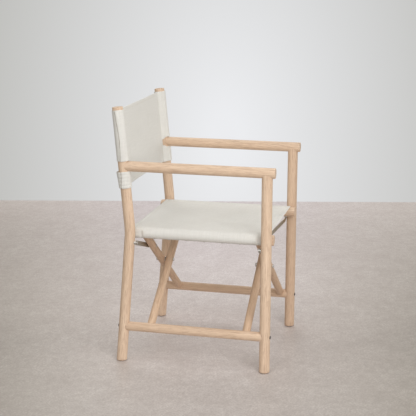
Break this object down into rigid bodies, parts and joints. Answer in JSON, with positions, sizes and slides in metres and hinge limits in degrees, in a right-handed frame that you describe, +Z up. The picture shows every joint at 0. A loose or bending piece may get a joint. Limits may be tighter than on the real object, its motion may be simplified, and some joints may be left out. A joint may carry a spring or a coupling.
{
  "type": "folding director chair",
  "caption": "Folding director chair with round pale wood side frames, a scissor underframe and off-white canvas seat and back.",
  "frame": {"origin": "on the floor under the middle of the chair's bounding box", "axes": "+Z up; the sitter faces -Y; +X is the sitter's left"},
  "size_m": [0.5336, 0.5395, 0.864],
  "materials": {
    "oak": "pale oiled oak",
    "dowel_wood": "raw dowel",
    "canvas": "off-white woven canvas",
    "steel": "satin plated steel",
    "glide_plastic": "matt dark"
  },
  "bodies": {
    "right_side_frame": {"right_front_leg": "oak", "right_rear_post": "oak", "right_armrest": "oak", "right_arm_dowels": "dowel_wood", "right_glides": "glide_plastic", "right_stretcher_bolts": "steel", "right_link_pins": "steel", "right_back_sleeve_upper": "canvas", "right_back_sleeve_lower": "canvas", "back_panel": "canvas"},
    "inner_cross_frame": {"right_stretcher": "oak", "left_seat_rail": "oak", "inner_rear_bar": "oak", "inner_front_bar": "oak", "inner_frame_dowels": "dowel_wood", "inner_link_screws": "steel", "left_seat_tacks": "steel"},
    "outer_cross_frame": {"left_stretcher": "oak", "right_seat_rail": "oak", "outer_rear_bar": "oak", "outer_front_bar": "oak", "outer_frame_dowels": "dowel_wood", "outer_link_screws": "steel", "right_seat_tacks": "steel", "crossing_bolts": "steel", "crossing_washers": "steel", "crossing_nuts": "steel", "seat_canvas": "canvas"},
    "left_side_frame": {"left_front_leg": "oak", "left_rear_post": "oak", "left_armrest": "oak", "left_arm_dowels": "dowel_wood", "left_glides": "glide_plastic", "left_stretcher_bolts": "steel", "left_link_pins": "steel", "left_back_sleeve_upper": "canvas", "left_back_sleeve_lower": "canvas"},
    "right_rear_link_body": {"right_rear_link": "steel", "right_rear_link_rivet": "steel"},
    "right_front_link_body": {"right_front_link": "steel", "right_front_link_rivet": "steel"},
    "left_rear_link_body": {"left_rear_link": "steel", "left_rear_link_rivet": "steel"},
    "left_front_link_body": {"left_front_link": "steel", "left_front_link_rivet": "steel"}
  },
  "joints": [
    {"name": "fold", "type": "hinge", "parent": "right_side_frame", "child": "inner_cross_frame", "pos_m": [-0.2475, 0, 0.1225], "axis": [0, -1, 0], "range_deg": [0, 42], "deforming": ["back_panel"]},
    {"name": "scissor", "type": "hinge", "parent": "inner_cross_frame", "child": "outer_cross_frame", "pos_m": [0, 0, 0.2945], "axis": [0, 1, 0], "range_deg": [-0.5, 91.8], "deforming": ["seat_canvas"]},
    {"name": "left_frame_turn", "type": "hinge", "parent": "outer_cross_frame", "child": "left_side_frame", "pos_m": [0.2475, 0, 0.1225], "axis": [0, -1, 0], "range_deg": [-0.5, 42.5]},
    {"name": "right_rear_link_turn", "type": "hinge", "parent": "right_side_frame", "child": "right_rear_link_body", "pos_m": [-0.2475, 0, 0.413], "axis": [0, -1, 0], "range_deg": [-0.5, 85.38]},
    {"name": "right_front_link_turn", "type": "hinge", "parent": "right_side_frame", "child": "right_front_link_body", "pos_m": [-0.2475, 0, 0.413], "axis": [0, -1, 0], "range_deg": [-0.5, 85.38]},
    {"name": "left_rear_link_turn", "type": "hinge", "parent": "left_side_frame", "child": "left_rear_link_body", "pos_m": [0.2475, 0, 0.413], "axis": [0, 1, 0], "range_deg": [-0.5, 85.38]},
    {"name": "left_front_link_turn", "type": "hinge", "parent": "left_side_frame", "child": "left_front_link_body", "pos_m": [0.2475, 0, 0.413], "axis": [0, 1, 0], "range_deg": [-0.5, 85.38]}
  ],
  "couplings": [
    {"joint": "scissor", "follows": "fold", "ratio": 2.1739},
    {"joint": "left_frame_turn", "follows": "fold", "ratio": 1},
    {"joint": "right_rear_link_turn", "follows": "fold", "ratio": 2.0209},
    {"joint": "right_front_link_turn", "follows": "fold", "ratio": 2.0209},
    {"joint": "left_rear_link_turn", "follows": "fold", "ratio": 2.0209},
    {"joint": "left_front_link_turn", "follows": "fold", "ratio": 2.0209}
  ]
}
